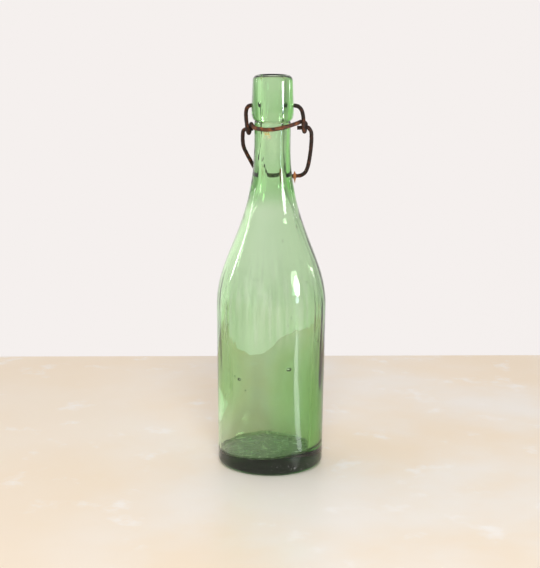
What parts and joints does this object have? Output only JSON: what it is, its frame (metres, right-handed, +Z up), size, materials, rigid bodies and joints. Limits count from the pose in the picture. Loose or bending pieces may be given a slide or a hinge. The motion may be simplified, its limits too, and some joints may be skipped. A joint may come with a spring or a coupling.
{
  "type": "swing top bottle",
  "caption": "Tall green glass bottle with sloping shoulders and a wire swing closure: a locking lever pivoted in the finish and a bail hung from its eyes, without its stopper",
  "frame": {"origin": "centre of the base, on the surface that the bottle stands on", "axes": "+Z up along the bottle's axis, -Y towards the front, where the lever's bow crosses the neck, +X to the right seen from the front and along the lever's pivot line"},
  "size_m": [0.0866, 0.0866, 0.3103],
  "materials": {
    "green_glass": "clear old green glass, smooth and glossy, slightly wavy, with a few small bubbles",
    "rusty_wire": "steel wire covered with dark brown rust, pitted, orange where it has rubbed"
  },
  "bodies": {
    "bottle": {"glass_bottle": "green_glass"},
    "lever": {"lever_wire": "rusty_wire"},
    "bail": {"bail_wire": "rusty_wire"}
  },
  "joints": [
    {"name": "lever_lift", "type": "hinge", "parent": "bottle", "child": "lever", "pos_m": [0, 0, 0.2869], "axis": [-1, 0, 0], "range_deg": [0, 85]},
    {"name": "bail_swing", "type": "hinge", "parent": "lever", "child": "bail", "pos_m": [0, 0, 0.26933], "axis": [0.9995, 0, 0.0313], "range_deg": [0, 204.5]}
  ],
  "couplings": [
    {"joint": "bail_swing", "follows": "lever_lift", "ratio": 2.4}
  ]
}
